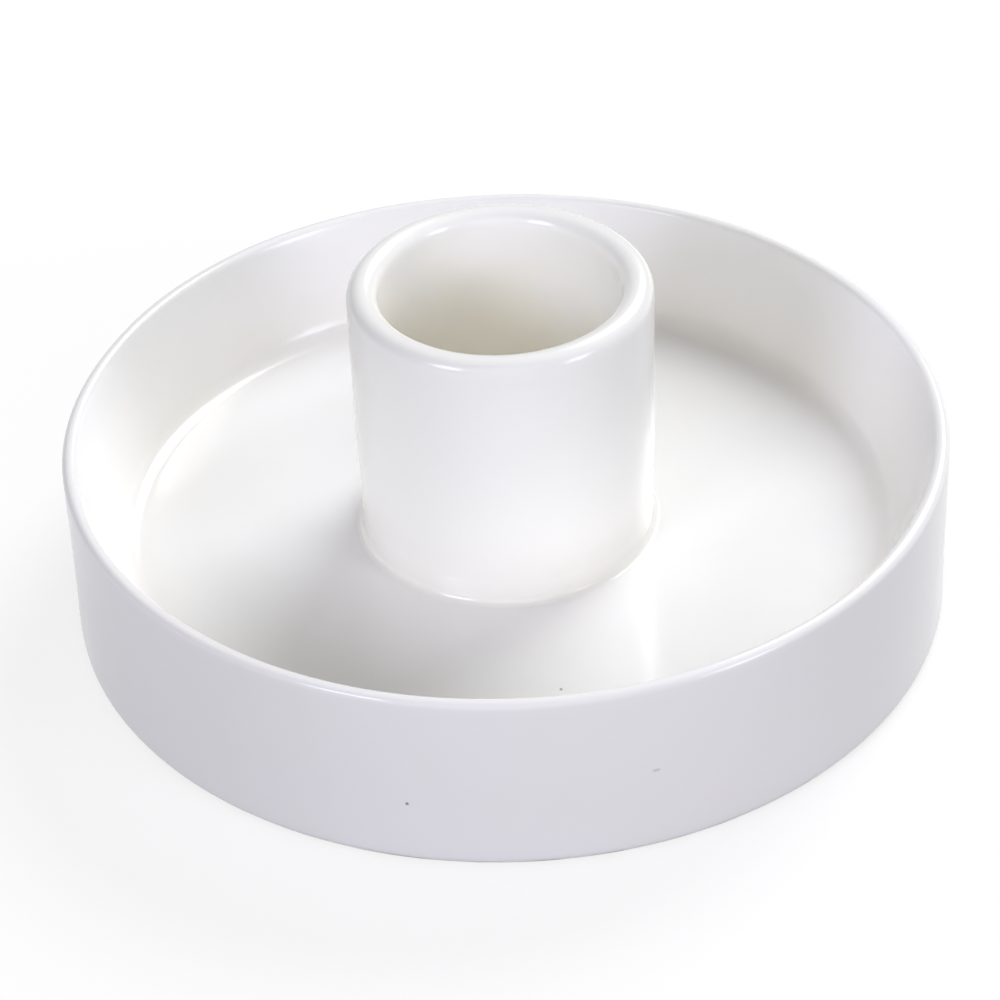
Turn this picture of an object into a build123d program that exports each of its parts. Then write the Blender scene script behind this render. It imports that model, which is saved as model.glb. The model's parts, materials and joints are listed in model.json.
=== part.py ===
from build123d import *
from math import cos, pi, radians, sin, tan
import os

# A candle plate: a shallow round dish, and a hollow candle cup bonded to the middle of its floor by slip.
# Millimetres. The origin is the centre of the resting plane, and +Z runs up the axis of the cup.

# Dish sizes
dish_diameter = 93.0
dish_depth = 12.2
lip_thickness = 1.8
wall_lean = 20.0
cove_radius = 2.4
floor_thickness = 4.3
foot_recess_depth = 3.9
foot_width = 5.0
foot_edge_radius = 1.0
recess_corner_radius = 2.0

# Candle cup sizes
bore_diameter = 25.0
bore_depth = 24.4
bore_corner_radius = 1.5
cup_wall = 3.3
cup_floor_thickness = 5.0
waist_inset = 0.4
waist_reach = 10.0

# Slip joint sizes
bond_thickness = 0.4
bead_width = 0.55
bead_height = 3.0
bead_hollow = 0.05

# Dish levels and radii, from the table up and from the axis out. The wall's inner face leans in by wall_lean
# degrees from the lip down to the floor, so that the wall is thickest at its foot.
recess_level = foot_recess_depth
floor_level = recess_level + floor_thickness
rim_level = floor_level + dish_depth
dish_radius = dish_diameter / 2
lip_round = lip_thickness / 2
lip_radius = dish_radius - lip_round
lip_level = rim_level - lip_round
lean = radians(wall_lean)
wall_top_radius = lip_radius - lip_round * cos(lean)
wall_top_level = lip_level + lip_round * sin(lean)
wall_foot_radius = wall_top_radius - (wall_top_level - floor_level) * tan(lean)
cove_reach = cove_radius * tan((pi / 2 - lean) / 2)
cove_top = (wall_foot_radius + cove_reach * sin(lean), floor_level + cove_reach * cos(lean))
cove_foot = (wall_foot_radius - cove_reach, floor_level)
foot_outer_radius = dish_radius - foot_edge_radius
foot_inner_radius = foot_outer_radius - foot_width

# Cup levels and radii
cup_base_level = floor_level + bond_thickness
bead_level = cup_base_level + bead_height
bore_floor_level = cup_base_level + cup_floor_thickness
cup_rim_level = bore_floor_level + bore_depth
bore_radius = bore_diameter / 2
cup_radius = bore_radius + cup_wall
cup_round = cup_wall / 2
waist_radius = cup_radius - waist_inset
bead_radius = waist_radius + bead_width
bead_middle_radius = (waist_radius + bead_radius) / 2
bead_middle_level = (floor_level + bead_level) / 2

os.makedirs("parts", exist_ok=True)

# The dish is one turned profile: recessed underside, foot ring, upright outside, half-round lip, leaning inside,
# cove and floor.
with BuildPart() as dish:
    with BuildSketch(Plane.XZ):
        with BuildLine():
            underside = Line((0, recess_level), (foot_inner_radius - recess_corner_radius, recess_level))
            recess_end = (foot_inner_radius, recess_level - recess_corner_radius)
            recess_corner = TangentArc(underside @ 1, recess_end, tangent=underside % 1)
            recess_side = Line(recess_corner @ 1, (foot_inner_radius, 0))
            foot = Line(recess_side @ 1, (foot_outer_radius, 0))
            foot_edge = TangentArc(foot @ 1, (dish_radius, foot_edge_radius), tangent=foot % 1)
            outside = Line(foot_edge @ 1, (dish_radius, lip_level))
            lip = TangentArc(outside @ 1, (wall_top_radius, wall_top_level), tangent=outside % 1)
            inside = Line(lip @ 1, cove_top)
            cove = TangentArc(inside @ 1, cove_foot, tangent=inside % 1)
            floor = Line(cove @ 1, (0, floor_level))
            Line(floor @ 1, underside @ 0)
        make_face()
    revolve(axis=Axis.Z)
dish.part.label = "dish"
export_step(dish.part, "parts/dish.step")

# The slip joint is a thin layer under the cup, with a soft bead round the cup's foot: hollow above, full below.
with BuildPart() as slip_joint:
    with BuildSketch(Plane.XZ):
        with BuildLine():
            bed = Line((0, floor_level), (bead_radius, floor_level))
            grip = Line((waist_radius, bead_level), (waist_radius, cup_base_level))
            hollow = SagittaArc(grip @ 0, (bead_middle_radius, bead_middle_level), -bead_hollow)
            TangentArc(hollow @ 1, bed @ 1, tangent=hollow % 1)
            layer = Line(grip @ 1, (0, cup_base_level))
            Line(layer @ 1, bed @ 0)
        make_face()
    revolve(axis=Axis.Z)
slip_joint.part.label = "slip_joint"
export_step(slip_joint.part, "parts/slip_joint.step")

# The cup stands on the slip: a straight foot inside the bead, a shallow waist, an upright side, a half-round
# lip and a blind bore for the candle.
with BuildPart() as candle_cup:
    with BuildSketch(Plane.XZ):
        with BuildLine():
            base = Line((0, cup_base_level), (waist_radius, cup_base_level))
            neck = Line(base @ 1, (waist_radius, bead_level))
            shoulder = (cup_radius, bead_level + waist_reach)
            side = Line(shoulder, (cup_radius, cup_rim_level - cup_round))
            TangentArc(side @ 0, neck @ 1, tangent=-(side % 0))
            cup_lip = TangentArc(side @ 1, (bore_radius, cup_rim_level - cup_round), tangent=side % 1)
            bore = Line(cup_lip @ 1, (bore_radius, bore_floor_level + bore_corner_radius))
            bore_end = (bore_radius - bore_corner_radius, bore_floor_level)
            bore_corner = TangentArc(bore @ 1, bore_end, tangent=bore % 1)
            bore_floor = Line(bore_corner @ 1, (0, bore_floor_level))
            Line(bore_floor @ 1, base @ 0)
        make_face()
    revolve(axis=Axis.Z)
candle_cup.part.label = "candle_cup"
export_step(candle_cup.part, "parts/candle_cup.step")

print("overall height", cup_rim_level, "rim height", rim_level, "floor level", floor_level)
print("bore from", bore_floor_level + bore_corner_radius, "to", cup_rim_level - cup_round)
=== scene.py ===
import json
import logging
import math
from dataclasses import dataclass, field
from enum import Enum
from typing import NamedTuple

import bpy
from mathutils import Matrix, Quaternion, Vector


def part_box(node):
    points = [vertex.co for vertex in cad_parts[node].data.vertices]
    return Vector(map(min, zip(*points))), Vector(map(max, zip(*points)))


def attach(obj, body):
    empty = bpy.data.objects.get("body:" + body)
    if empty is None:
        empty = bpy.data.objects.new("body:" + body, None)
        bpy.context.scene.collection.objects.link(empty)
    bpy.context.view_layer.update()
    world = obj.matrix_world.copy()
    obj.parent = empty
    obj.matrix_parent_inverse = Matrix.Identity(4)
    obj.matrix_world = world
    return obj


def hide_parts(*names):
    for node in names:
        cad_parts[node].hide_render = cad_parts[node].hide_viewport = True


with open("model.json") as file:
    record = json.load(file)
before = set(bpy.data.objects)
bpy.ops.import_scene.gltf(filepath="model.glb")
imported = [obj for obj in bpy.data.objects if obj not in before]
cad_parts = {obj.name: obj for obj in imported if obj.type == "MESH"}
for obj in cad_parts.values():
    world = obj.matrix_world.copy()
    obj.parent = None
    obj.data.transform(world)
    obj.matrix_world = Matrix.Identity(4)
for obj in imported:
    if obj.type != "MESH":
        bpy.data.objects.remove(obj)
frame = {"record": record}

logging.basicConfig(level=logging.INFO, format="%(name)s: %(message)s")
log = logging.getLogger("candle_plate")

Colour = tuple[float, float, float]

BODY = "root"
MM = 0.001

# Segments round each turned piece, spacing of rings on straight stretches, turn between rings on bends, and
# the distance under which points are welded
SEGMENTS = 112
RING_SPACING = 2.2 * MM
BEND_STEP = math.radians(15.0)
WELD = 0.001 * MM

# Directions in a section, as angles from outwards towards up
OUT, UP, IN, DOWN = (math.radians(a) for a in (0.0, 90.0, 180.0, 270.0))

# The inputs of the cream patch group, in the order of a patch's own values
CREAM_PATCH_INPUTS = (
    "None Radius", "Full Radius", "Last Radius", "None Level", "Full Level", "Strength", "Lean", "Ragged"
)

# The glaze of the cup and of the slip bead round its foot; its cream also paints the warm shade down the bore
CUP_WHITE: Colour = (0.926, 0.928, 0.900)
CUP_CREAM_AND_SHADE: Colour = (0.96, 0.93, 0.845)


class LampRole(Enum):
    """What each studio lamp is for."""

    KEY = "key_softbox"
    FILL = "front_fill"
    LEFT = "left_softbox"
    RIGHT = "right_softbox"


class Ring(NamedTuple):
    """One ring of a turned profile: its radius from the axis and its level above the table, in metres."""

    radius: float
    level: float


class Speck(NamedTuple):
    """A dark speck in the glaze: its middle and its half sizes along the axes, in metres, and its strength."""

    centre: tuple[float, float, float]
    reach: tuple[float, float, float]
    strength: float


class CreamPatch(NamedTuple):
    """A patch where the glaze is painted creamier, in metres: painted shade in the bore and the cove, and a
    creamier band round the cup's foot.

    It fades in from one radius to another, ends at a third, and fades in from one level to another. Its lean
    is how far those levels fall for each metre to the right, and its raggedness how far they stray.
    """

    none_radius: float
    full_radius: float
    last_radius: float
    none_level: float
    full_level: float
    strength: float
    lean: float = 0.0
    ragged: float = 0.0


class Noise(NamedTuple):
    """A layer of noise: its patches in a metre, its finer layers, and the range of its values that counts."""

    scale: float
    detail: float
    low: float = 0.0
    high: float = 1.0


# The glaze: ragged edges of its cream patches, slow drifts of cream, smears in the gloss, swells and orange
# peel
CREAM_PATCH_EDGES = Noise(170.0, 2.0, 0.25, 0.75)
DRIFTS = Noise(55.0, 2.0, 0.35, 0.75)
DRIFT_SHARE = 0.16
SMEARS = Noise(140.0, 3.0, 0.3, 0.7)
SMEAR_DEPTH = 0.03
SWELLS = Noise(120.0, 1.0)
PEEL = Noise(620.0, 1.0)
PEEL_SHARE = 0.25
SPECK_CORE = 0.45

# The bare clay: its grain, its patches, and the line where the glaze was wiped off
CLAY_GRAIN = Noise(1800.0, 4.0, 0.3, 0.7)
CLAY_PATCHES = Noise(160.0, 3.0)
CLAY_TONES = (0.75, 1.3)
CLAY_ROUGHNESS = (0.72, 0.9)
WIPE_EDGE = Noise(260.0, 3.0, 0.3, 0.7)
WIPE_STRAY = 0.2 * MM
WIPE_BLUR = 0.06 * MM


def straight(start: Ring, end: Ring) -> list[Ring]:
    """Spaces rings along a straight stretch of a profile.

    Args:
        start: the ring that the stretch begins at.
        end: the ring that it ends at.

    Returns:
        The rings after the first, with the last one at end.
    """
    across, up = end.radius - start.radius, end.level - start.level
    count = max(1, math.ceil(math.hypot(across, up) / RING_SPACING))
    steps = [number / count for number in range(1, count + 1)]
    return [Ring(start.radius + across * step, start.level + up * step) for step in steps]


def bend(centre: Ring, radius: float, start: float, end: float) -> list[Ring]:
    """Spaces rings round an arc of a profile.

    Args:
        centre: the arc's middle.
        radius: the arc's radius.
        start: the angle of its first point, in radians from outwards towards up.
        end: the angle of its last point.

    Returns:
        The rings after the first.
    """
    count = max(2, math.ceil(abs(end - start) / BEND_STEP))
    angles = [start + (end - start) * number / count for number in range(1, count + 1)]
    return [Ring(centre.radius + radius * math.cos(a), centre.level + radius * math.sin(a)) for a in angles]


def select_only(piece: bpy.types.Object) -> None:
    """Leaves one object selected and active."""
    bpy.ops.object.select_all(action="DESELECT")
    piece.select_set(True)
    bpy.context.view_layer.objects.active = piece


class Lathe:
    """Draws a half section point by point and spins it round the upright axis into a closed piece."""

    def __init__(self, name: str, first: Ring) -> None:
        """Puts down the first point of the section.

        Args:
            name: the piece's name.
            first: the ring that the point stands for.
        """
        bpy.ops.object.select_all(action="DESELECT")
        bpy.ops.mesh.primitive_plane_add(size=MM, location=(first.radius, 0.0, first.level))
        self.piece: bpy.types.Object = bpy.context.object
        self.piece.name = name
        self.piece.data.name = name
        bpy.ops.object.transform_apply(location=True, rotation=True, scale=True)
        bpy.ops.object.mode_set(mode="EDIT")
        bpy.ops.mesh.select_mode(type="VERT")
        bpy.ops.mesh.select_all(action="SELECT")
        bpy.ops.mesh.merge(type="CENTER")
        self.ring = first

    def draw_to(self, ring: Ring) -> None:
        """Draws the section on to the next point.

        Args:
            ring: the ring that the point stands for.
        """
        bpy.ops.mesh.extrude_verts_indiv()
        step = (ring.radius - self.ring.radius, 0.0, ring.level - self.ring.level)
        bpy.ops.transform.translate(value=step)
        self.ring = ring

    def spin(self) -> bpy.types.Object:
        """Spins the section full circle, closes its seam and poles, and turns every face outwards.

        Returns:
            The closed piece.
        """
        bpy.ops.mesh.select_all(action="SELECT")
        bpy.ops.mesh.spin(steps=SEGMENTS, angle=math.tau, center=(0.0, 0.0, 0.0), axis=(0.0, 0.0, 1.0))
        bpy.ops.mesh.select_all(action="SELECT")
        bpy.ops.mesh.remove_doubles(threshold=WELD)
        bpy.ops.mesh.normals_make_consistent(inside=False)
        bpy.ops.object.mode_set(mode="OBJECT")
        bpy.ops.object.shade_smooth()
        return self.piece


def turn(name: str, profile: list[Ring]) -> bpy.types.Object:
    """Turns a whole profile that begins and ends on the axis.

    Args:
        name: the piece's name.
        profile: its rings, in order.

    Returns:
        The closed piece.
    """
    lathe = Lathe(name, profile[0])
    for ring in profile[1:]:
        lathe.draw_to(ring)
    return lathe.spin()


def smooth(piece: bpy.types.Object) -> None:
    """Rounds a piece by one step of subdivision."""
    select_only(piece)
    rounding = piece.modifiers.new("smooth", "SUBSURF")
    rounding.levels = 1
    rounding.render_levels = 1
    bpy.ops.object.modifier_apply(modifier=rounding.name)


@dataclass(frozen=True)
class HandWobble:
    """The slight unevenness that casting, sponging and a thick glaze leave on a surface.

    It only ever takes clay away, so that a piece never grows past its size. It fades out below the still
    level and inside the still radius, where the piece has to meet another one.
    """

    depth: float
    breadth: float
    still_level: float
    still_radius: float = 0.0
    fade: float = 5.0 * MM

    def share(self, place: Vector) -> float:
        """Tells how much of the wobble a point gets.

        Args:
            place: the point.

        Returns:
            The share, 0 to 1.
        """
        rise = (place.z - self.still_level) / self.fade
        reach = (place.xy.length - self.still_radius) / self.fade if self.still_radius else 1.0
        return min(max(rise, 0.0), 1.0) * min(max(reach, 0.0), 1.0)

    def apply(self, piece: bpy.types.Object) -> None:
        """Wobbles a piece.

        Args:
            piece: the piece.
        """
        select_only(piece)
        group = piece.vertex_groups.new(name="wobble")
        for vertex in piece.data.vertices:
            group.add([vertex.index], self.share(vertex.co), "REPLACE")
        clouds = bpy.data.textures.new(piece.name + "_wobble", "CLOUDS")
        clouds.noise_scale = self.breadth
        clouds.noise_depth = 1
        wobble = piece.modifiers.new("wobble", "DISPLACE")
        wobble.texture = clouds
        wobble.texture_coords = "LOCAL"
        wobble.strength = self.depth
        wobble.mid_level = 1.0
        wobble.vertex_group = group.name
        bpy.ops.object.modifier_apply(modifier=wobble.name)


class NodeSheet:
    """A node tree with short calls that add and join its nodes."""

    def __init__(self, tree: bpy.types.NodeTree) -> None:
        """Takes over a node tree.

        Args:
            tree: the tree to work on.
        """
        self.tree = tree

    def add(self, kind: str, values: dict | None = None, **settings: object) -> bpy.types.Node:
        """Adds a node.

        Args:
            kind: the node's type.
            values: what its unlinked inputs hold, by name or number.
            settings: its own properties.

        Returns:
            The new node.
        """
        node = self.tree.nodes.new(kind)
        for name, value in settings.items():
            setattr(node, name, value)
        for name, value in (values or {}).items():
            node.inputs[name].default_value = value
        return node

    def join(self, source: bpy.types.NodeSocket, target: bpy.types.NodeSocket) -> None:
        """Links an output to an input."""
        self.tree.links.new(source, target)

    def noise(self, position: bpy.types.NodeSocket, layer: Noise) -> bpy.types.NodeSocket:
        """Adds a layer of noise.

        Args:
            position: where it is read.
            layer: the layer.

        Returns:
            Its value, about 0 to 1.
        """
        node = self.add("ShaderNodeTexNoise", {"Scale": layer.scale, "Detail": layer.detail})
        self.join(position, node.inputs["Vector"])
        return node.outputs["Fac"]

    def patches(
        self, position: bpy.types.NodeSocket, layer: Noise, target: tuple[float, float]
    ) -> bpy.types.NodeSocket:
        """Adds a layer of noise whose own range is mapped to another.

        Args:
            position: where it is read.
            layer: the layer.
            target: the range that it leaves in.

        Returns:
            The mapped value.
        """
        return self.remap(self.noise(position, layer), (layer.low, layer.high), target)

    def remap(
        self, value: bpy.types.NodeSocket, source: tuple[float, float], target: tuple[float, float]
    ) -> bpy.types.NodeSocket:
        """Maps a value smoothly from one range to another.

        Args:
            value: what is mapped.
            source: the range that it comes in.
            target: the range that it leaves in.

        Returns:
            The mapped value.
        """
        values = {"From Min": source[0], "From Max": source[1], "To Min": target[0], "To Max": target[1]}
        node = self.add("ShaderNodeMapRange", values, interpolation_type="SMOOTHSTEP")
        self.join(value, node.inputs["Value"])
        return node.outputs["Result"]

    def maths(
        self, operation: str, first: bpy.types.NodeSocket, second: bpy.types.NodeSocket | float
    ) -> bpy.types.NodeSocket:
        """Adds a sum, product or the like of two values.

        Args:
            operation: the operation's name.
            first: the first value.
            second: the second value, linked or plain.

        Returns:
            The result.
        """
        node = self.add("ShaderNodeMath", operation=operation)
        self.join(first, node.inputs[0])
        if isinstance(second, float):
            node.inputs[1].default_value = second
        else:
            self.join(second, node.inputs[1])
        return node.outputs["Value"]

    def mix(
        self,
        share: bpy.types.NodeSocket,
        first: bpy.types.NodeSocket | Colour,
        second: bpy.types.NodeSocket | Colour,
    ) -> bpy.types.NodeSocket:
        """Mixes two colours.

        Args:
            share: how much of the second shows.
            first: the first colour, linked or plain.
            second: the second colour, linked or plain.

        Returns:
            The mixed colour.
        """
        node = self.add("ShaderNodeMix", data_type="RGBA")
        self.join(share, node.inputs["Factor"])
        for name, colour in (("A", first), ("B", second)):
            socket = next(i for i in node.inputs if i.name == name and i.type == "RGBA")
            if isinstance(colour, tuple):
                socket.default_value = (*colour, 1.0)
            else:
                self.join(colour, socket)
        return next(o for o in node.outputs if o.type == "RGBA")

    def mix_values(
        self, share: bpy.types.NodeSocket, first: bpy.types.NodeSocket, second: bpy.types.NodeSocket
    ) -> bpy.types.NodeSocket:
        """Mixes two values.

        Args:
            share: how much of the second shows.
            first: the first value.
            second: the second value.

        Returns:
            The mixed value.
        """
        node = self.add("ShaderNodeMix", data_type="FLOAT")
        self.join(share, node.inputs["Factor"])
        self.join(first, node.inputs["A"])
        self.join(second, node.inputs["B"])
        return node.outputs["Result"]


class GroupSheet(NodeSheet):
    """A shader node group with named inputs and outputs."""

    def __init__(self, name: str, inputs: dict[str, str], outputs: dict[str, str]) -> None:
        """Makes an empty group.

        Args:
            name: the group's name.
            inputs: its inputs' names and socket types.
            outputs: its outputs' names and socket types.
        """
        super().__init__(bpy.data.node_groups.new(name, "ShaderNodeTree"))
        for label, kind in inputs.items():
            self.tree.interface.new_socket(label, in_out="INPUT", socket_type=kind)
        for label, kind in outputs.items():
            self.tree.interface.new_socket(label, in_out="OUTPUT", socket_type=kind)
        self.given = self.add("NodeGroupInput").outputs
        self.made = self.add("NodeGroupOutput").inputs


def cream_patch_group() -> bpy.types.NodeTree:
    """Builds the group that tells how much painted cream a patch lays on a place.

    Returns:
        The group, whose share is 0 outside the patch.
    """
    sheet = GroupSheet(
        "cream_patch_group",
        {"Position": "NodeSocketVector"} | {label: "NodeSocketFloat" for label in CREAM_PATCH_INPUTS},
        {"Share": "NodeSocketFloat"},
    )
    parts = sheet.add("ShaderNodeSeparateXYZ")
    sheet.join(sheet.given["Position"], parts.inputs["Vector"])
    across = sheet.maths("MULTIPLY", parts.outputs["X"], parts.outputs["X"])
    along = sheet.maths("MULTIPLY", parts.outputs["Y"], parts.outputs["Y"])
    radius = sheet.maths("POWER", sheet.maths("ADD", across, along), 0.5)
    edges = sheet.patches(sheet.given["Position"], CREAM_PATCH_EDGES, (-1.0, 1.0))
    strays = sheet.maths("MULTIPLY", edges, sheet.given["Ragged"])
    leans = sheet.maths("MULTIPLY", parts.outputs["X"], sheet.given["Lean"])
    level = sheet.maths("ADD", parts.outputs["Z"], sheet.maths("ADD", strays, leans))
    share = sheet.maths("LESS_THAN", radius, sheet.given["Last Radius"])
    for value, none, full in (
        (radius, "None Radius", "Full Radius"),
        (level, "None Level", "Full Level"),
    ):
        fade = sheet.add("ShaderNodeMapRange", interpolation_type="SMOOTHSTEP")
        sheet.join(value, fade.inputs["Value"])
        sheet.join(sheet.given[none], fade.inputs["From Min"])
        sheet.join(sheet.given[full], fade.inputs["From Max"])
        share = sheet.maths("MULTIPLY", share, fade.outputs["Result"])
    sheet.join(sheet.maths("MULTIPLY", share, sheet.given["Strength"]), sheet.made["Share"])
    return sheet.tree


def glaze_skin() -> bpy.types.NodeTree:
    """Builds the group for a thick white glaze: its colour, its gloss and its faint orange-peel relief.

    Returns:
        The group. It is creamier by the share of its cream patches, and in slow drifts over the whole surface.
    """
    sheet = GroupSheet(
        "glaze_skin",
        {
            "Position": "NodeSocketVector",
            "White": "NodeSocketColor",
            "Cream": "NodeSocketColor",
            "CreamPatch": "NodeSocketFloat",
            "Gloss": "NodeSocketFloat",
        },
        {"Color": "NodeSocketColor", "Roughness": "NodeSocketFloat", "Height": "NodeSocketFloat"},
    )
    position = sheet.given["Position"]
    drifts = sheet.patches(position, DRIFTS, (0.0, DRIFT_SHARE))
    # Cream share: the patches, which paint shade in the bore and the cove, plus the slow drifts
    depth = sheet.maths("ADD", sheet.given["CreamPatch"], drifts)
    sheet.join(sheet.mix(depth, sheet.given["White"], sheet.given["Cream"]), sheet.made["Color"])

    smears = sheet.patches(position, SMEARS, (-SMEAR_DEPTH, SMEAR_DEPTH))
    sheet.join(sheet.maths("ADD", sheet.given["Gloss"], smears), sheet.made["Roughness"])

    swells = sheet.noise(position, SWELLS)
    peel = sheet.maths("MULTIPLY", sheet.noise(position, PEEL), PEEL_SHARE)
    sheet.join(sheet.maths("ADD", swells, peel), sheet.made["Height"])
    return sheet.tree


def iron_speck() -> bpy.types.NodeTree:
    """Builds the group for one dark speck that an iron grain in the clay leaves in the glaze.

    Returns:
        The group, whose mask is 1 in the speck.
    """
    sheet = GroupSheet(
        "iron_speck",
        {
            "Position": "NodeSocketVector",
            "Centre": "NodeSocketVector",
            "Reach": "NodeSocketVector",
            "Strength": "NodeSocketFloat",
        },
        {"Mask": "NodeSocketFloat"},
    )
    away = sheet.add("ShaderNodeVectorMath", operation="SUBTRACT")
    sheet.join(sheet.given["Position"], away.inputs[0])
    sheet.join(sheet.given["Centre"], away.inputs[1])
    share = sheet.add("ShaderNodeVectorMath", operation="DIVIDE")
    sheet.join(away.outputs["Vector"], share.inputs[0])
    sheet.join(sheet.given["Reach"], share.inputs[1])
    length = sheet.add("ShaderNodeVectorMath", operation="LENGTH")
    sheet.join(share.outputs["Vector"], length.inputs[0])
    inside = sheet.remap(length.outputs["Value"], (SPECK_CORE, 1.0), (1.0, 0.0))
    sheet.join(sheet.maths("MULTIPLY", inside, sheet.given["Strength"]), sheet.made["Mask"])
    return sheet.tree


def bare_clay() -> bpy.types.NodeTree:
    """Builds the group for fired clay without glaze: a matt, finely pitted, warm body.

    Returns:
        The group.
    """
    sheet = GroupSheet(
        "bare_clay",
        {"Position": "NodeSocketVector", "Pale": "NodeSocketColor", "Dark": "NodeSocketColor"},
        {"Color": "NodeSocketColor", "Roughness": "NodeSocketFloat", "Height": "NodeSocketFloat"},
    )
    position = sheet.given["Position"]
    grain = sheet.noise(position, CLAY_GRAIN)
    patches = sheet.noise(position, CLAY_PATCHES)
    toned = sheet.remap(sheet.maths("ADD", grain, patches), CLAY_TONES, (0.0, 1.0))
    sheet.join(sheet.mix(toned, sheet.given["Pale"], sheet.given["Dark"]), sheet.made["Color"])
    roughness = sheet.remap(grain, (CLAY_GRAIN.low, CLAY_GRAIN.high), CLAY_ROUGHNESS)
    sheet.join(roughness, sheet.made["Roughness"])
    sheet.join(grain, sheet.made["Height"])
    return sheet.tree


class SharedEffects:
    """The node groups that the finishes share, each built once."""

    def __init__(self) -> None:
        """Builds the groups."""
        self.glaze = glaze_skin()
        self.pool = cream_patch_group()
        self.speck = iron_speck()
        self.clay = bare_clay()


@dataclass(frozen=True)
class GlazeFinish:
    """A glossy white glaze over pale fired clay.

    The foot line is the level below which the glaze was wiped off, or None where the glaze covers all. The
    wetness is how much of a second, clear coat lies on the glaze where it ran together.
    """

    name: str
    cream_patches: tuple[CreamPatch, ...]
    white: Colour = (0.92, 0.917, 0.908)
    # The cream tints the slow drifts and the patches; in the bore and the cove those patches are painted shade
    cream_and_shade: Colour = (0.91, 0.875, 0.79)
    gloss: float = 0.17
    wetness: float = 0.0
    relief: float = 0.22
    relief_depth: float = 0.12 * MM
    foot_line: float | None = None
    clay_pale: Colour = (0.70, 0.64, 0.55)
    clay_dark: Colour = (0.55, 0.48, 0.39)
    speck_colour: Colour = (0.20, 0.19, 0.19)
    specks: tuple[Speck, ...] = ()

    def material(self, effects: SharedEffects) -> bpy.types.Material:
        """Makes the finish's material.

        Args:
            effects: the shared node groups.

        Returns:
            The material.
        """
        material = bpy.data.materials.new(self.name)
        material.use_nodes = True
        sheet = NodeSheet(material.node_tree)
        shader = material.node_tree.nodes["Principled BSDF"]
        position = sheet.add("ShaderNodeTexCoord").outputs["Object"]

        glaze = sheet.add("ShaderNodeGroup", node_tree=effects.glaze)
        sheet.join(position, glaze.inputs["Position"])
        glaze.inputs["White"].default_value = (*self.white, 1.0)
        glaze.inputs["Cream"].default_value = (*self.cream_and_shade, 1.0)
        glaze.inputs["Gloss"].default_value = self.gloss
        sheet.join(self.depth(sheet, effects, position), glaze.inputs["CreamPatch"])
        colour, roughness, height = (glaze.outputs[name] for name in ("Color", "Roughness", "Height"))

        for speck in self.specks:
            colour = self.spot(sheet, effects, position, speck, colour)
        if self.foot_line is not None:
            colour, roughness, height = self.wiped(sheet, effects, position, colour, roughness, height)

        bump = sheet.add("ShaderNodeBump", {"Strength": self.relief, "Distance": self.relief_depth})
        sheet.join(height, bump.inputs["Height"])
        sheet.join(colour, shader.inputs["Base Color"])
        sheet.join(roughness, shader.inputs["Roughness"])
        sheet.join(bump.outputs["Normal"], shader.inputs["Normal"])
        shader.inputs["Coat Weight"].default_value = self.wetness
        return material

    def depth(
        self, sheet: NodeSheet, effects: SharedEffects, position: bpy.types.NodeSocket
    ) -> bpy.types.NodeSocket:
        """Adds the finish's cream patches up, painted shade among them.

        Args:
            sheet: the material's nodes.
            effects: the shared node groups.
            position: where the surface is.

        Returns:
            The share of cream at each place.
        """
        shares = []
        for pool in self.cream_patches:
            node = sheet.add("ShaderNodeGroup", node_tree=effects.pool)
            sheet.join(position, node.inputs["Position"])
            for label, value in zip(CREAM_PATCH_INPUTS, pool):
                node.inputs[label].default_value = value
            shares.append(node.outputs["Share"])
        total = shares[0]
        for share in shares[1:]:
            total = sheet.maths("ADD", total, share)
        return total

    def spot(
        self,
        sheet: NodeSheet,
        effects: SharedEffects,
        position: bpy.types.NodeSocket,
        speck: Speck,
        colour: bpy.types.NodeSocket,
    ) -> bpy.types.NodeSocket:
        """Lays one speck over a colour.

        Args:
            sheet: the material's nodes.
            effects: the shared node groups.
            position: where the surface is.
            speck: the speck.
            colour: the colour under it.

        Returns:
            The colour with the speck on it.
        """
        mask = sheet.add("ShaderNodeGroup", node_tree=effects.speck)
        sheet.join(position, mask.inputs["Position"])
        mask.inputs["Centre"].default_value = speck.centre
        mask.inputs["Reach"].default_value = speck.reach
        mask.inputs["Strength"].default_value = speck.strength
        return sheet.mix(mask.outputs["Mask"], colour, self.speck_colour)

    def wiped(
        self,
        sheet: NodeSheet,
        effects: SharedEffects,
        position: bpy.types.NodeSocket,
        colour: bpy.types.NodeSocket,
        roughness: bpy.types.NodeSocket,
        height: bpy.types.NodeSocket,
    ) -> tuple[bpy.types.NodeSocket, bpy.types.NodeSocket, bpy.types.NodeSocket]:
        """Bares the clay below the foot line.

        Args:
            sheet: the material's nodes.
            effects: the shared node groups.
            position: where the surface is.
            colour: the glaze's colour.
            roughness: the glaze's roughness.
            height: the glaze's relief.

        Returns:
            The colour, roughness and relief of glaze and clay together.
        """
        clay = sheet.add("ShaderNodeGroup", node_tree=effects.clay)
        sheet.join(position, clay.inputs["Position"])
        clay.inputs["Pale"].default_value = (*self.clay_pale, 1.0)
        clay.inputs["Dark"].default_value = (*self.clay_dark, 1.0)
        parts = sheet.add("ShaderNodeSeparateXYZ")
        sheet.join(position, parts.inputs["Vector"])
        ragged = sheet.patches(position, WIPE_EDGE, (-WIPE_STRAY, WIPE_STRAY))
        level = sheet.maths("ADD", parts.outputs["Z"], ragged)
        bare = sheet.remap(level, (self.foot_line - WIPE_BLUR, self.foot_line + WIPE_BLUR), (1.0, 0.0))
        return (
            sheet.mix(bare, colour, clay.outputs["Color"]),
            sheet.mix_values(bare, roughness, clay.outputs["Roughness"]),
            sheet.mix_values(bare, height, clay.outputs["Height"]),
        )


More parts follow.
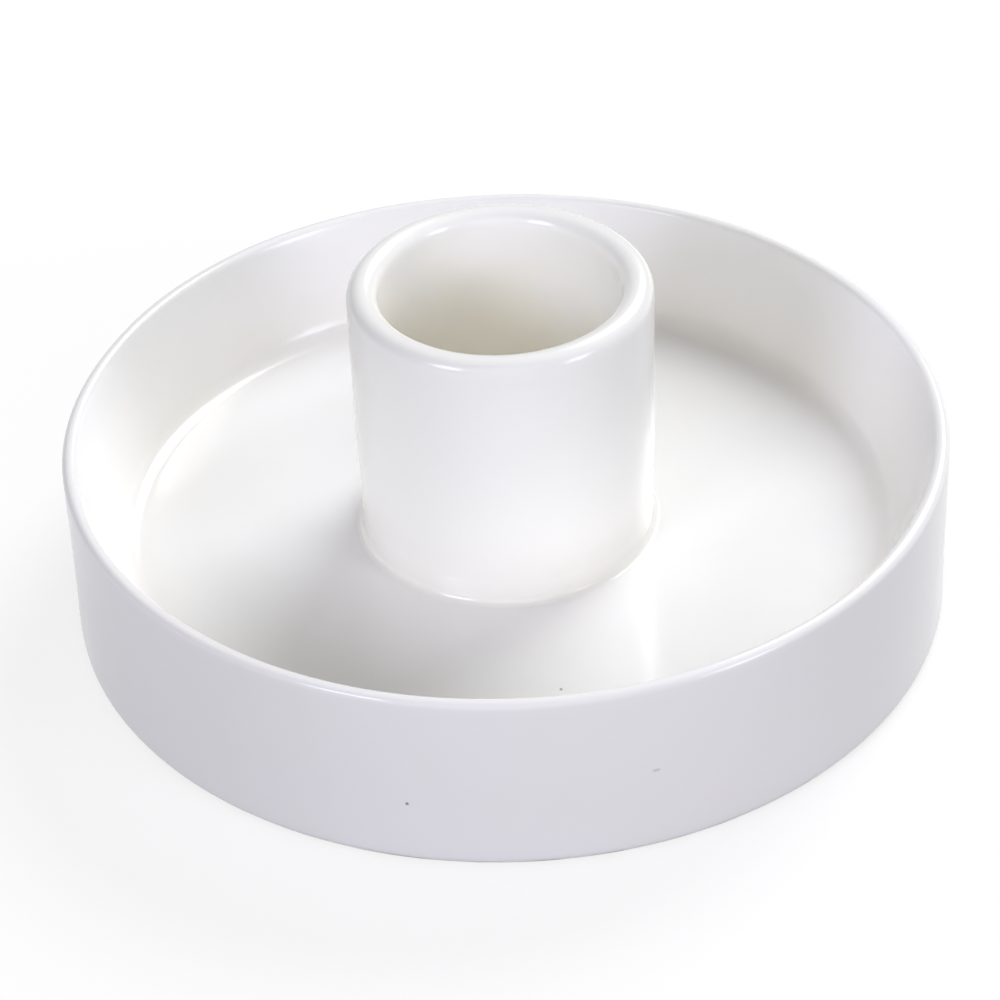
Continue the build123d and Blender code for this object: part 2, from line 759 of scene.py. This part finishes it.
@dataclass
class Dish:
    """The shallow dish: recessed underside, foot ring, wall with a half-round lip, cove and floor.

    The wall is upright outside and leans in towards the floor inside. Its wobble fades out inside the calm
    radius, where the cup stands. The cove shade values say how far in from the rim a warm shade is painted
    into the cove and up the wall's foot.
    """

    radius: float
    rim_level: float
    floor_level: float
    lip_thickness: float = 1.8 * MM
    wall_lean: float = math.radians(20.0)
    cove_radius: float = 2.4 * MM
    floor_thickness: float = 4.3 * MM
    foot_width: float = 5.0 * MM
    foot_edge_radius: float = 1.0 * MM
    foot_inner_edge_radius: float = 0.5 * MM
    recess_corner_radius: float = 2.0 * MM
    wobble_depth: float = 0.26 * MM
    wobble_breadth: float = 24.0 * MM
    calm_radius: float = 18.0 * MM
    cove_shade_reach: float = 11.0 * MM
    shade_full: float = 5.0 * MM
    cove_shade_strength: float = 0.35
    foot_line: float = 0.35 * MM

    @classmethod
    def from_frame(cls) -> "Dish":
        """Takes the dish's main sizes from its node and from the slip that lies on its floor."""
        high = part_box("dish")[1]
        return cls(radius=high[0], rim_level=high[2], floor_level=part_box("slip_joint")[0][2])

    def profile(self) -> list[Ring]:
        """Follows the section from the middle of the underside, over the wall, to the middle of the floor.

        Returns:
            The rings in order.
        """
        recess_level = self.floor_level - self.floor_thickness
        foot_outer = self.radius - self.foot_edge_radius
        foot_inner = foot_outer - self.foot_width
        corner = self.recess_corner_radius
        edge, inner_edge = self.foot_edge_radius, self.foot_inner_edge_radius
        lip, lean, cove = self.lip_thickness / 2, self.wall_lean, self.cove_radius
        wall_top = Ring(
            self.radius - lip * (1 + math.cos(lean)), self.rim_level - lip * (1 - math.sin(lean))
        )
        wall_foot = wall_top.radius - (wall_top.level - self.floor_level) * math.tan(lean)
        reach = cove * math.tan((UP - lean) / 2)

        rings = [Ring(0.0, recess_level)]
        rings += straight(rings[-1], Ring(foot_inner - corner, recess_level))
        rings += bend(Ring(foot_inner - corner, recess_level - corner), corner, UP, OUT)
        rings += straight(rings[-1], Ring(foot_inner, inner_edge))
        rings += bend(Ring(foot_inner + inner_edge, inner_edge), inner_edge, IN, DOWN)
        rings += straight(rings[-1], Ring(foot_outer, 0.0))
        rings += bend(Ring(foot_outer, edge), edge, -UP, OUT)
        rings += straight(rings[-1], Ring(self.radius, self.rim_level - lip))
        rings += bend(Ring(self.radius - lip, self.rim_level - lip), lip, OUT, IN - lean)
        cove_top = Ring(wall_foot + reach * math.sin(lean), self.floor_level + reach * math.cos(lean))
        rings += straight(rings[-1], cove_top)
        rings += bend(Ring(wall_foot - reach, self.floor_level + cove), cove, -lean, -UP)
        rings += straight(rings[-1], Ring(0.0, self.floor_level))
        return rings

    def build(self) -> bpy.types.Object:
        """Turns the dish and gives it its slight unevenness."""
        piece = turn("glazed_dish", self.profile())
        wobble = HandWobble(self.wobble_depth, self.wobble_breadth, self.foot_edge_radius, self.calm_radius)
        wobble.apply(piece)
        smooth(piece)
        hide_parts("dish")
        return piece

    def dress(self, piece: bpy.types.Object, effects: SharedEffects) -> None:
        """Glazes the dish all over but for the foot ring.

        Args:
            piece: the dish.
            effects: the shared node groups.
        """
        # Painted shade: the cove where the wall shades the floor is painted creamier and darker
        cove = CreamPatch(
            none_radius=self.radius - self.cove_shade_reach,
            full_radius=self.radius - self.shade_full,
            last_radius=self.radius - self.lip_thickness / 2,
            none_level=self.rim_level,
            full_level=self.floor_level,
            strength=self.cove_shade_strength,
        )
        finish = GlazeFinish("dish_glaze", (cove,), foot_line=self.foot_line, specks=self.specks())
        piece.data.materials.append(finish.material(effects))

    def specks(self) -> tuple[Speck, ...]:
        """Tells where the photograph shows dark specks: two outside the wall and one on the floor.

        Returns:
            The specks.
        """
        return (
            Speck(
                centre=(-10.84 * MM, -45.2 * MM, 7.39 * MM),
                reach=(0.24 * MM, 0.6 * MM, 0.24 * MM),
                strength=0.9,
            ),
            Speck(
                centre=(13.3 * MM, -44.55 * MM, 9.92 * MM),
                reach=(0.58 * MM, 0.6 * MM, 0.24 * MM),
                strength=0.3,
            ),
            Speck(
                centre=(4.58 * MM, -29.48 * MM, self.floor_level),
                reach=(0.22 * MM, 0.30 * MM, 0.6 * MM),
                strength=0.7,
            ),
        )


@dataclass
class CandleCup:
    """The hollow cup for one candle: straight foot, shallow waist, upright side, half-round lip, blind bore.

    The bore's shade values say how far below the rim a warm painted shade begins, where it is strongest, how
    far that line falls for each metre to the right, and how far it strays.
    """

    radius: float
    base_level: float
    rim_level: float
    bore_radius: float
    bead_level: float
    waist_inset: float = 0.4 * MM
    waist_reach: float = 10.0 * MM
    floor_thickness: float = 5.0 * MM
    bore_corner_radius: float = 1.5 * MM
    wobble_depth: float = 0.14 * MM
    wobble_breadth: float = 14.0 * MM
    bore_shade_start: float = 4.0 * MM
    shade_full: float = 16.0 * MM
    bore_shade_lean: float = 0.3
    bore_shade_stray: float = 2.6 * MM
    foot_cream_strength: float = 0.3

    @classmethod
    def from_frame(cls) -> "CandleCup":
        """Takes the cup's main sizes from its node, its candle socket and the slip bead round its foot."""
        low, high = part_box("candle_cup")
        socket = next(m for m in frame["record"]["mounts"] if m["name"] == "candle_socket")
        return cls(
            radius=high[0],
            base_level=low[2],
            rim_level=high[2],
            bore_radius=socket["dims"]["r_mm"] * MM,
            bead_level=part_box("slip_joint")[1][2],
        )

    def profile(self) -> list[Ring]:
        """Follows the section from the middle of the base, over the lip, to the middle of the bore's floor.

        Returns:
            The rings in order.
        """
        waist = self.radius - self.waist_inset
        lip = (self.radius - self.bore_radius) / 2
        corner = self.bore_corner_radius
        bore_floor = self.base_level + self.floor_thickness
        sweep_radius = (self.waist_reach**2 + self.waist_inset**2) / (2 * self.waist_inset)
        sweep = math.asin(self.waist_reach / sweep_radius)
        shoulder = Ring(self.radius - sweep_radius, self.bead_level + self.waist_reach)

        rings = [Ring(0.0, self.base_level)]
        rings += straight(rings[-1], Ring(waist, self.base_level))
        rings += straight(rings[-1], Ring(waist, self.bead_level))
        count = math.ceil(self.waist_reach / RING_SPACING)
        for number in range(1, count + 1):
            angle = -sweep * (1 - number / count)
            rings.append(
                Ring(
                    shoulder.radius + sweep_radius * math.cos(angle),
                    shoulder.level + sweep_radius * math.sin(angle),
                )
            )
        rings += straight(rings[-1], Ring(self.radius, self.rim_level - lip))
        rings += bend(Ring(self.radius - lip, self.rim_level - lip), lip, OUT, IN)
        rings += straight(rings[-1], Ring(self.bore_radius, bore_floor + corner))
        rings += bend(Ring(self.bore_radius - corner, bore_floor + corner), corner, OUT, -UP)
        rings += straight(rings[-1], Ring(0.0, bore_floor))
        return rings

    def build(self) -> bpy.types.Object:
        """Turns the cup and gives it its slight unevenness."""
        piece = turn("glazed_candle_cup", self.profile())
        HandWobble(self.wobble_depth, self.wobble_breadth, self.bead_level).apply(piece)
        smooth(piece)
        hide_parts("candle_cup")
        return piece

    def dress(self, piece: bpy.types.Object, effects: SharedEffects) -> None:
        """Glazes the cup, with a warm painted shade down its bore and creamier round its foot.

        Args:
            piece: the cup.
            effects: the shared node groups.
        """
        # Painted shade: the bore is painted creamier and darker with depth, most strongly low and to the left
        bore_shade = CreamPatch(
            none_radius=(self.radius + self.bore_radius) / 2,
            full_radius=self.bore_radius,
            last_radius=self.radius,
            none_level=self.rim_level - self.bore_shade_start,
            full_level=self.rim_level - self.shade_full,
            strength=1.0,
            lean=self.bore_shade_lean,
            ragged=self.bore_shade_stray,
        )
        finish = GlazeFinish("cup_glaze", (bore_shade, self.foot_glaze()), white=CUP_WHITE, cream_and_shade=CUP_CREAM_AND_SHADE)
        piece.data.materials.append(finish.material(effects))

    def foot_glaze(self) -> CreamPatch:
        """Tells where the cup is painted creamier round its foot, towards the floor.

        Returns:
            The patch, which the slip bead shares.
        """
        return CreamPatch(
            none_radius=self.bore_radius,
            full_radius=(self.radius + self.bore_radius) / 2,
            last_radius=2 * self.radius,
            none_level=self.bead_level + self.waist_reach,
            full_level=self.base_level,
            strength=self.foot_cream_strength,
        )


@dataclass
class SlipJoint:
    """The slip that bonds the cup to the dish: a layer under the cup, with a soft bead round its foot.

    The bead runs out on to the floor in a small hollow of glaze, and dies away up the cup, where its top is
    tucked under the cup's skin. Its hidden edges are sunk into the dish and the cup, so that no crack shows.
    """

    bead_radius: float
    floor_level: float
    base_level: float
    bead_level: float
    waist_radius: float
    foot_glaze: CreamPatch
    hollow: float = 0.8 * MM
    belly_inset: float = 0.4 * MM
    tuck: float = 0.03 * MM
    sink: float = 0.4 * MM
    steps: int = 10
    wetness: float = 0.6

    @classmethod
    def from_frame(cls, cup: CandleCup) -> "SlipJoint":
        """Takes the joint's sizes from its node and from the cup.

        Args:
            cup: the cup that the slip holds.

        Returns:
            The joint.
        """
        low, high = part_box("slip_joint")
        return cls(
            bead_radius=high[0],
            floor_level=low[2],
            base_level=cup.base_level,
            bead_level=high[2],
            waist_radius=cup.radius - cup.waist_inset,
            foot_glaze=cup.foot_glaze(),
        )

    def profile(self) -> list[Ring]:
        """Follows the section from the middle of the layer, over the bead, to the middle of its top.

        Returns:
            The rings in order.
        """
        belly = Ring(self.bead_radius - self.belly_inset, self.floor_level + self.hollow)
        toe = Ring(belly.radius + self.hollow, self.floor_level)
        top_radius = self.waist_radius - self.tuck
        buried = self.waist_radius - self.sink
        rings = [Ring(0.0, self.floor_level - self.sink)]
        rings += straight(rings[-1], Ring(toe.radius, self.floor_level - self.sink))
        rings.append(toe)
        rings += bend(Ring(toe.radius, belly.level), self.hollow, DOWN, IN)
        for number in range(1, self.steps + 1):
            rise = number / self.steps
            drawn_in = (1 - math.cos(math.pi * rise)) / 2
            rings.append(
                Ring(
                    belly.radius + (top_radius - belly.radius) * drawn_in,
                    belly.level + (self.bead_level - belly.level) * rise,
                )
            )
        rings.append(Ring(buried, self.bead_level))
        rings += straight(rings[-1], Ring(buried, self.base_level))
        rings += straight(rings[-1], Ring(0.0, self.base_level))
        return rings

    def build(self) -> bpy.types.Object:
        """Turns the joint and leaves it without a wobble, so that it follows the cup's calm foot."""
        piece = turn("glazed_slip_joint", self.profile())
        smooth(piece)
        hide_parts("slip_joint")
        return piece

    def dress(self, piece: bpy.types.Object, effects: SharedEffects) -> None:
        """Glazes the bead as the cup's foot, so that one glaze runs over both.

        Args:
            piece: the joint.
            effects: the shared node groups.
        """
        finish = GlazeFinish(
            "slip_glaze", (self.foot_glaze,), white=CUP_WHITE, cream_and_shade=CUP_CREAM_AND_SHADE, wetness=self.wetness
        )
        piece.data.materials.append(finish.material(effects))


@dataclass(frozen=True)
class Lamp:
    """A round soft box that faces the object: its angles in degrees, its sizes in metres and its power."""

    role: LampRole
    azimuth: float
    elevation: float
    distance: float
    diameter: float
    watts: float
    colour: Colour

    def hang(self, aim: Vector) -> None:
        """Hangs the lamp.

        Args:
            aim: the point that it faces.
        """
        azimuth, elevation = math.radians(self.azimuth), math.radians(self.elevation)
        away = Vector(
            (
                math.cos(azimuth) * math.cos(elevation),
                math.sin(azimuth) * math.cos(elevation),
                math.sin(elevation),
            )
        )
        bpy.ops.object.light_add(type="AREA", location=aim + away * self.distance)
        lamp = bpy.context.object
        lamp.name = self.role.value
        lamp.rotation_euler = away.to_track_quat("Z", "Y").to_euler()
        lamp.data.shape = "DISK"
        lamp.data.size = self.diameter
        lamp.data.energy = self.watts
        lamp.data.color = self.colour


@dataclass(frozen=True)
class Studio:
    """The white floor, the pale surroundings and the lamps."""

    floor_size: float = 6.0
    floor_colour: Colour = (0.27, 0.27, 0.27)
    floor_lift: float = 0.74
    air_colour: Colour = (1.0, 0.97, 0.90)
    air_strength: float = 0.26
    lamps: tuple[Lamp, ...] = (
        Lamp(
            LampRole.KEY, azimuth=56.0, elevation=42.0, distance=0.9, diameter=0.52, watts=6.1,
            colour=(0.95, 0.97, 1.0),
        ),
        Lamp(
            LampRole.FILL, azimuth=271.0, elevation=32.0, distance=1.2, diameter=1.1, watts=3.95,
            colour=(0.95, 0.93, 1.0),
        ),
        Lamp(
            LampRole.LEFT, azimuth=230.0, elevation=26.0, distance=1.2, diameter=0.45, watts=4.6,
            colour=(0.81, 0.815, 1.0),
        ),
        Lamp(
            LampRole.RIGHT, azimuth=324.0, elevation=18.0, distance=1.2, diameter=0.45, watts=3.8,
            colour=(0.85, 0.85, 1.0),
        ),
    )

    def set_up(self, aim: Vector) -> None:
        """Lays the floor, lights the air and hangs the lamps.

        Args:
            aim: the point that the lamps face.
        """
        self.lay_floor()
        self.light_air()
        for lamp in self.lamps:
            lamp.hang(aim)
            log.info("lamp %s hung", lamp.role.value)

    def lay_floor(self) -> None:
        """Lays a plain pale floor, which the camera and mirror rays see as white where no shadow falls."""
        bpy.ops.mesh.primitive_plane_add(size=self.floor_size)
        floor = bpy.context.object
        floor.name = "studio_floor"
        material = bpy.data.materials.new("studio_floor")
        material.use_nodes = True
        sheet = NodeSheet(material.node_tree)
        shader = material.node_tree.nodes["Principled BSDF"]
        shader.inputs["Base Color"].default_value = (*self.floor_colour, 1.0)
        shader.inputs["Roughness"].default_value = 1.0
        shader.inputs["Specular IOR Level"].default_value = 0.0
        path = sheet.add("ShaderNodeLightPath")
        seen = sheet.maths("MAXIMUM", path.outputs["Is Camera Ray"], path.outputs["Is Glossy Ray"])
        seen = sheet.maths("MAXIMUM", seen, path.outputs["Is Transmission Ray"])
        sheet.join(sheet.maths("MULTIPLY", seen, self.floor_lift), shader.inputs["Emission Strength"])
        shader.inputs["Emission Color"].default_value = (1.0, 1.0, 1.0, 1.0)
        floor.data.materials.append(material)

    def light_air(self) -> None:
        """Gives the surroundings a plain, slightly warm light."""
        world = bpy.data.worlds.new("studio_air")
        bpy.context.scene.world = world
        world.use_nodes = True
        background = world.node_tree.nodes["Background"]
        background.inputs["Color"].default_value = (*self.air_colour, 1.0)
        background.inputs["Strength"].default_value = self.air_strength


@dataclass(frozen=True)
class PhotoCamera:
    """The camera at the photograph's viewing angle, in its square frame. Angles are in degrees."""

    image_pixels: float = 1000.0
    focal_pixels: float = 3388.7
    centre_column: float = 506.8
    centre_row: float = 470.1
    distance: float = 359.1 * MM
    elevation: float = 35.95
    roll: float = 2.2
    clip_near: float = 0.01
    clip_far: float = 100.0
    aim: Vector = field(default_factory=lambda: Vector((0.0, 0.0, 13.95 * MM)))

    def place(self) -> None:
        """Places the camera and makes it the scene's own."""
        bpy.ops.object.camera_add()
        camera = bpy.context.object
        camera.name = "photo_camera"
        elevation = math.radians(self.elevation)
        back = Vector((0.0, -math.cos(elevation), math.sin(elevation)))
        camera.location = self.aim + back * self.distance
        turn_to = (-back).to_track_quat("-Z", "Y") @ Quaternion((0.0, 0.0, 1.0), -math.radians(self.roll))
        camera.rotation_euler = turn_to.to_euler()
        lens = camera.data
        lens.sensor_fit = "HORIZONTAL"
        lens.lens = lens.sensor_width * self.focal_pixels / self.image_pixels
        lens.shift_x = 0.5 - self.centre_column / self.image_pixels
        lens.shift_y = self.centre_row / self.image_pixels - 0.5
        lens.clip_start = self.clip_near
        lens.clip_end = self.clip_far
        bpy.context.scene.camera = camera


def main() -> None:
    """Builds and dresses the candle plate and sets up the studio."""
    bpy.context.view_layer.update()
    effects = SharedEffects()
    dish = Dish.from_frame()
    cup = CandleCup.from_frame()
    for part in (dish, cup, SlipJoint.from_frame(cup)):
        piece = part.build()
        part.dress(piece, effects)
        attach(piece, BODY)
        log.info("piece %s: %d faces", piece.name, len(piece.data.polygons))

    camera = PhotoCamera()
    camera.place()
    Studio().set_up(camera.aim)
    bpy.context.scene.view_settings.view_transform = "Standard"


if __name__ == "__main__":
    main()
